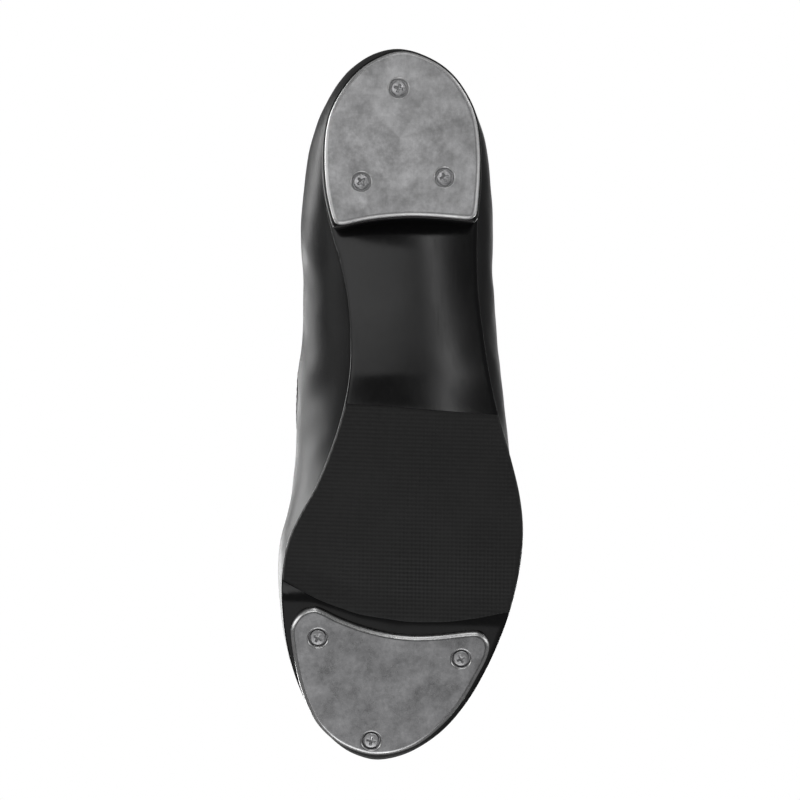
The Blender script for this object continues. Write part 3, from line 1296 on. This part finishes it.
# ---------------------------------------------------------------- ribbon
def ribbon(edge_a, edge_b, pleat, thick=0.5, cup=0.0, phase=0.0, ripple=0.0, columns=21,
           folds=2.2):
    """Ribbed ribbon between two edge lines: (vertices, faces, mesh coordinates).

    Where the edges draw together it lies in `folds` lengthwise folds of height `pleat`; `cup`
    bows it across its width and `ripple` waves it along its length.
    """
    spans = len(edge_a) - 1
    at = np.linspace(0, spans, spans * 40 + 1)
    edge_a, edge_b = open_curve(edge_a, at), open_curve(edge_b, at)
    steps = np.linalg.norm(np.diff((edge_a + edge_b) / 2, axis=0), axis=1)
    lengths = np.concatenate([[0], np.cumsum(steps)])
    ring_steps = max(12, int(round(lengths[-1] / RIBBON_RIB)) * 4)
    t = np.linspace(0, lengths[-1], ring_steps + 1)
    edge_a, edge_b = (np.stack([np.interp(t, lengths, column) for column in edge.T], 1)
                      for edge in (edge_a, edge_b))
    path, half = (edge_a + edge_b) / 2, (edge_b - edge_a) / 2
    half_width = np.linalg.norm(half, axis=1)
    across = unit(half)
    normal = unit(np.cross(unit(np.gradient(path, axis=0)), across))
    s = np.linspace(-1, 1, columns)
    gather = np.clip(1 - half_width / (RIBBON_WIDTH / 2), 0, 1)
    ends = smoothstep(t / 2.0) * smoothstep((t[-1] - t) / 2.0)
    fold = pleat * np.cos(s * math.pi * folds + phase) * (1 - 0.25 * s * s)
    # Half thickness, with a thicker selvedge
    body = 0.5 * thick * (1 + 0.25 * smoothstep((np.abs(s) - 0.86) / 0.1))
    rings, coords = [], []
    for k in range(ring_steps + 1):
        wave = np.sin(t[k] * 0.45 + s * 2.4 + phase) * (0.35 + 0.65 * s * s)
        middle = (fold * gather[k] + (cup * (1 - s * s) + ripple * wave) * ends[k]
                  + 0.045 * math.cos(TURN * t[k] / RIBBON_RIB))
        base = path[k] + across[k] * (s * half_width[k])[:, None]
        top = base + normal[k] * (middle + body)[:, None]
        bottom = base + normal[k] * (middle - body)[:, None]
        rings.append(np.vstack([top, bottom[::-1]]))
        coords += [(t[k], i * RIBBON_WIDTH / 2, 0) for i in [*s, *s[::-1]]]
    return *loft(rings), coords


def ribbon_piece(name, strips, body, replaces):
    coords = [c for strip in strips for c in strip[2]]
    fix_normals(piece(name, join([strip[:2] for strip in strips]), "ribbon", body,
                      replaces=replaces, coords=coords))


KNOT = np.array([69.6, -2.5, 88.3])


def cross_pair(point, half):
    """Edge points either side of a point along X."""
    point = np.asarray(point, float)
    return [point - [half, 0, 0], point + [half, 0, 0]]


def through_eyelet(eyelet, side):
    """Edge pairs from outside an eyelet, through it, to the inside of the shoe."""
    point, normal = eyelet
    return [cross_pair(point + normal * 4.2 + [-2.6, -side * 1.6, 1.6], 2.5),
            cross_pair(point + normal * 2 + [-0.2, 0, 0], 2.0),
            cross_pair(point - normal * 1.5, 2.0),
            cross_pair(point - normal * 5, 2.7)]


def tie():
    """One strand from the knot, in and out through both eyelets, and back to the knot."""
    lateral, medial = EYELETS
    x, _, z = lateral[0]
    pairs = [cross_pair(KNOT + [-1, 0.5, 2.2], 2.8), [[65.2, -7.2, 91.6], [71.8, -7.6, 93.5]],
             cross_pair(KNOT + [0.3, -9.6, -1.6], 5.1), cross_pair(KNOT + [0.6, -12.4, -7], 5.1)]
    pairs += through_eyelet(lateral, -1)
    pairs.append(cross_pair([x - 2, 0, z + 1.5], 5.5))
    pairs += through_eyelet(medial, 1)[::-1]
    pairs += [cross_pair(KNOT + [-0.2, 6.8, 0.3], 2.7), cross_pair(KNOT + [0, 1.2, -0.9], 2.6)]
    ribbon_piece("tie_strand", [ribbon(*zip(*pairs), pleat=0.5)], "shoe", "tie_ribbon")


def knot_wrap():
    """Ribbon wound one and a quarter times about the X axis."""
    edge_a, edge_b = [], []
    for k in range(16):
        angle = TURN * k / 12 + 0.5
        overlap = 0.45 if k > 12 else 0
        lean = 0.9 * math.cos(angle - 0.6)
        point = KNOT + [0.25 * math.sin(angle), (4.7 + overlap) * math.cos(angle),
                        (5.3 + overlap) * math.sin(angle)]
        half = 4.7 + 0.7 * math.sin(angle + 0.4)
        edge_a.append(point + [-half + lean, 0.35, 0])
        edge_b.append(point + [half + lean, -0.35, 0])
    return ribbon(edge_a, edge_b, pleat=0.7, ripple=0.25, phase=0.5, cup=0.7, folds=3.0)


def knot_coil(side, index, radius, start):
    """One of the nested turns that fill an end of the knot."""
    edge_a, edge_b = [], []
    for q in range(9):
        angle = TURN * q / 8 + start
        centre = KNOT + [side * (4.0 - 0.45 * index), radius * math.cos(angle) * 0.95,
                         radius * math.sin(angle)]
        edge_a.append(centre + [side * 0.75, 0, 0])
        edge_b.append(centre - [side * 2.6, 0, 0])
    return ribbon(edge_a, edge_b, pleat=0.45, folds=1.4, thick=1.2, columns=11)


def knot():
    coils = [knot_coil(side, index, radius, start) for side in (-1, 1)
             for index, (radius, start) in enumerate(((3.7, 0.3), (2.4, 1.9), (1.2, 3.6)))]
    ribbon_piece("knot_wrap", [knot_wrap()] + coils, "shoe", "bow_knot")


# x, y, z along the two edges of each loop and tail, from the knot
LOOP_LATERAL = (
    [[64.1, -4.4, 89], [60.4, -10, 90.4], [57.2, -14, 94.2], [54.3, -16.6, 97.6],
     [50.6, -18.4, 93], [46.6, -18.8, 94.4], [44.2, -15.4, 92.2], [48.2, -12, 93.4],
     [54.4, -9.4, 96.8], [59.6, -6.8, 95.4], [64.1, -4, 90.8]],
    [[64.1, -5.8, 86.6], [61, -14.4, 83.9], [58.4, -18.8, 80.6], [54.8, -21.4, 78.6],
     [50.2, -22.6, 78.4], [45.2, -22.2, 82.4], [42.3, -18, 86.8], [46, -13.6, 84.6],
     [53, -9.4, 85], [59, -6.4, 86], [64.1, -2.6, 87.6]])
LOOP_MEDIAL = (
    [[75.1, -2, 90], [78.6, 3.4, 91.2], [83, 9.6, 90.4], [87.2, 14.6, 87.6],
     [90.2, 19.2, 83.2], [90.6, 19.8, 79], [87.6, 15.4, 82], [82.4, 9.4, 85.8],
     [75.1, -1.2, 87.2]],
    [[75.1, 0.2, 89.4], [75.2, 9.6, 88.4], [77.2, 18, 85.6], [80.4, 24, 81.4], [83.8, 27, 76],
     [84.6, 26.2, 72.6], [81.4, 22.4, 77.6], [77.6, 14.6, 83], [75.1, 0.4, 86.6]])
TAIL_LATERAL = (
    [[75.1, -4.2, 88.6], [75.8, -9.8, 90.6], [74.9, -16.8, 86.4], [77.4, -20.6, 79.6],
     [82.2, -22.4, 68.4]],
    [[75.1, -3.2, 85.6], [81.8, -6.6, 90], [85.2, -13.2, 87], [86.4, -19.2, 78.4],
     [85.1, -22, 68.4]])
TAIL_MEDIAL = (
    [[64.1, -2.2, 86.4], [61, 6, 89], [58.4, 13.6, 89], [58.6, 21, 84.2], [60.4, 25, 77.2]],
    [[64.1, -0.8, 84.2], [66.4, 9, 87.2], [66, 16.4, 85.6], [64.4, 21.6, 82],
     [62.8, 24.8, 77.2]])
# radius, height up the ribbon tips' film
AGLET_PROFILE = [
    (0.0, 0.0), (1.12, 0.0), (1.25, 0.15), (1.3, 0.6), (1.22, 1.2), (1.3, 1.9), (1.3, 6.0),
    (1.26, 9.0), (1.3, 12.4), (1.42, 12.7), (1.45, 13.6), (1.3, 14.2), (0.7, 14.4), (0.0, 14.4)]
AGLET_SEGMENTS = 40


def rooted(edges, both_ends=False):
    """Edge lines carried a little way into the knot."""
    inward = -1 if edges[0][0][0] > KNOT[0] else 1

    def root(point):
        x, y, z = point
        return [x + inward * 2.2, y * 0.7 + KNOT[1] * 0.3, z * 0.8 + KNOT[2] * 0.2]

    return [[root(edge[0])] + edge + ([root(edge[-1])] if both_ends else []) for edge in edges]


def bow_loop(side, edges, **shape):
    ribbon_piece(f"bow_{side}", [ribbon(*rooted(edges, True), pleat=0.9, **shape)],
                 f"loop_{side}", f"bow_loop_{side}")


def tail(side, edges):
    ribbon_piece(f"tail_end_{side}", [ribbon(*rooted(edges), pleat=0.9, ripple=0.25)],
                 f"tail_{side}", f"ribbon_tail_{side}")


def aglet(side, edges):
    middle = np.mean(edges, axis=0)
    end, before = middle[-1], middle[-2]
    direction = unit(end - before + [0, 0, -6])
    mesh = revolve(AGLET_PROFILE, end - direction * 1.2, direction, AGLET_SEGMENTS, closed=False)
    coords = [(height, 0, 0) for _, height in AGLET_PROFILE] * AGLET_SEGMENTS
    fix_normals(piece(f"tip_{side}", mesh, "film", f"tail_{side}",
                      replaces=f"aglet_{side}", coords=coords), weld=True)


tie()
knot()
bow_loop("lateral", LOOP_LATERAL, cup=-0.7, ripple=0.45)
bow_loop("medial", LOOP_MEDIAL, cup=0.8, ripple=0.4, phase=1.0)
tail("lateral", TAIL_LATERAL)
tail("medial", TAIL_MEDIAL)
aglet("lateral", TAIL_LATERAL)
aglet("medial", TAIL_MEDIAL)

# ---------------------------------------------------------------- pieces kept from the CAD
KEPT = {"heel_counter": "stiffener", "toe_puff": "stiffener", "insole_board": "fibre",
        "sock_liner": "sock", "bottom_filler": "cork", "shank": "shank",
        "heel_screw": "screw", "heel_nails": "screw"}
for node, material in KEPT.items():
    data = frame["nodes"][node].data
    data.materials.clear()
    data.materials.append(MATERIALS[material])
    for polygon in data.polygons:
        polygon.material_index = 0


# ---------------------------------------------------------------- stage, in metres
WHITE = (1, 1, 1, 1)


def world():
    """White to the camera, dim to everything else."""
    studio = bpy.data.worlds.new("studio")
    bpy.context.scene.world = studio
    g = Graph(studio, "ShaderNodeOutputWorld")
    seen = g.node("ShaderNodeBackground", {"Color": WHITE, "Strength": 1.0})
    lit = g.node("ShaderNodeBackground", {"Color": WHITE, "Strength": 0.11})
    path = g.node("ShaderNodeLightPath")
    mix = g.node("ShaderNodeMixShader", {0: path.outputs["Is Camera Ray"],
                                         1: lit.outputs[0], 2: seen.outputs[0]})
    g.feed(g.output.inputs[0], mix.outputs[0])


def floor_paper():
    """Pale paper that fades to white away from the shoe and is clear from below."""
    g = Graph(bpy.data.materials.new("floor_paper"))
    soft = g.node("ShaderNodeBsdfDiffuse", {"Color": (0.42, 0.42, 0.42, 1)})
    glow = g.node("ShaderNodeEmission", {"Color": WHITE, "Strength": 0.62})
    near = g.node("ShaderNodeAddShader", {0: soft.outputs[0], 1: glow.outputs[0]})
    position = g.node("ShaderNodeNewGeometry").outputs["Position"]
    distance = g.node("ShaderNodeVectorMath", {0: position, 1: (0.09, 0, 0)},
                      operation="DISTANCE").outputs["Value"]
    fade = g.remap(distance, (0.35, 1.1))
    far = g.node("ShaderNodeEmission", {"Color": WHITE, "Strength": 1.0})
    paper = g.node("ShaderNodeMixShader", {0: fade, 1: near.outputs[0], 2: far.outputs[0]})
    clear = g.node("ShaderNodeBsdfTransparent")
    behind = g.node("ShaderNodeNewGeometry").outputs["Backfacing"]
    both = g.node("ShaderNodeMixShader", {0: behind, 1: paper.outputs[0], 2: clear.outputs[0]})
    g.feed(g.output.inputs[0], both.outputs[0])
    return g.owner


def floor():
    material = floor_paper()
    data = bpy.data.meshes.new("floor")
    half, z = 40.0, -0.0005
    data.from_pydata([(-half, -half, z), (half, -half, z), (half, half, z), (-half, half, z)],
                     [], [(0, 1, 2, 3)])
    data.materials.append(material)
    obj = bpy.data.objects.new("floor", data)
    bpy.context.scene.collection.objects.link(obj)
    obj.visible_diffuse = False
    obj.visible_glossy = False
    obj.visible_transmission = False
    obj.visible_shadow = False


def area(name, place, size, power, size_y=None, target=(0.0875, 0.0, 0.03), along=None):
    """An area light aimed at a target; `along` is the direction its length is laid in."""
    light = bpy.data.lights.new(name, "AREA")
    light.energy = power
    light.size = size
    if size_y:
        light.shape = "RECTANGLE"
        light.size_y = size_y
    obj = bpy.data.objects.new(name, light)
    bpy.context.scene.collection.objects.link(obj)
    obj.location = place
    obj.rotation_mode = "QUATERNION"
    aim = (Vector(target) - Vector(place)).normalized()
    if along is None:
        obj.rotation_quaternion = aim.to_track_quat("-Z", "Y")
    else:
        x = (Vector(along) - aim * aim.dot(Vector(along))).normalized()
        y = (-aim).cross(x)
        obj.rotation_quaternion = Matrix((x, y, -aim)).transposed().to_quaternion()


def camera():
    """Looks up at the soles from below, with the heel at the top of the picture."""
    data = bpy.data.cameras.new("camera")
    obj = bpy.data.objects.new("camera", data)
    bpy.context.scene.collection.objects.link(obj)
    target = Vector((0.0876, -0.0005, 0.012))
    tilt = math.radians(1.8)
    distance, view_width, sensor_width = 1.10, 0.2704, 36
    look = Vector((0, -math.sin(tilt), math.cos(tilt)))
    right = look.cross(Vector((-1, 0, 0))).normalized()
    up = right.cross(look).normalized()
    turned = Matrix((right, up, -look)).transposed().to_4x4()
    obj.matrix_world = Matrix.Translation(target - look * distance) @ turned
    data.sensor_width = sensor_width
    data.lens = sensor_width * distance / view_width
    data.clip_start = 0.05
    data.clip_end = 20
    bpy.context.scene.camera = obj


bpy.context.scene.view_settings.view_transform = "Standard"
world()
floor()
area("above_back", (0.30, 0.55, 1.00), size=0.5, power=3.5)
area("above", (0.05, -0.20, 1.10), size=0.6, power=0.9)
area("side_a", (0.42, -0.55, 1.05), size=0.45, power=6.0)
area("side_c", (-0.62, -0.92, 0.22), size=0.4, power=1.3)
area("side_b", (-0.25, 0.90, 0.70), size=0.5, power=4.0)
area("front_on", (0.12, -1.5, 0.05), size=0.7, power=0.35, size_y=0.3)
area("under_medial", (0.06, 0.95, -0.42), size=0.45, power=1.5, size_y=0.9)
area("under_lateral", (0.08, -0.95, -0.42), size=0.3, power=0.9, size_y=0.8)
area("under_back", (-0.86, -0.05, -0.60), size=0.45, power=0.9, size_y=0.7)
area("under_front", (0.95, 0.05, -0.35), size=0.5, power=1.4)
area("under_toe", (0.78, 0.10, -0.83), size=0.5, power=0.30, target=(0.19, 0.0, 0.0))
area("under_strip", (-0.27, -0.15, -1.05), size=0.5, power=0.28, size_y=0.04,
     target=(0.06, -0.015, 0.01), along=(1, 0, 0))
area("under_heel", (-0.10, 0.22, -1.0), size=0.35, power=0.58, size_y=0.5,
     target=(0.0, 0.0, 0.0))
camera()
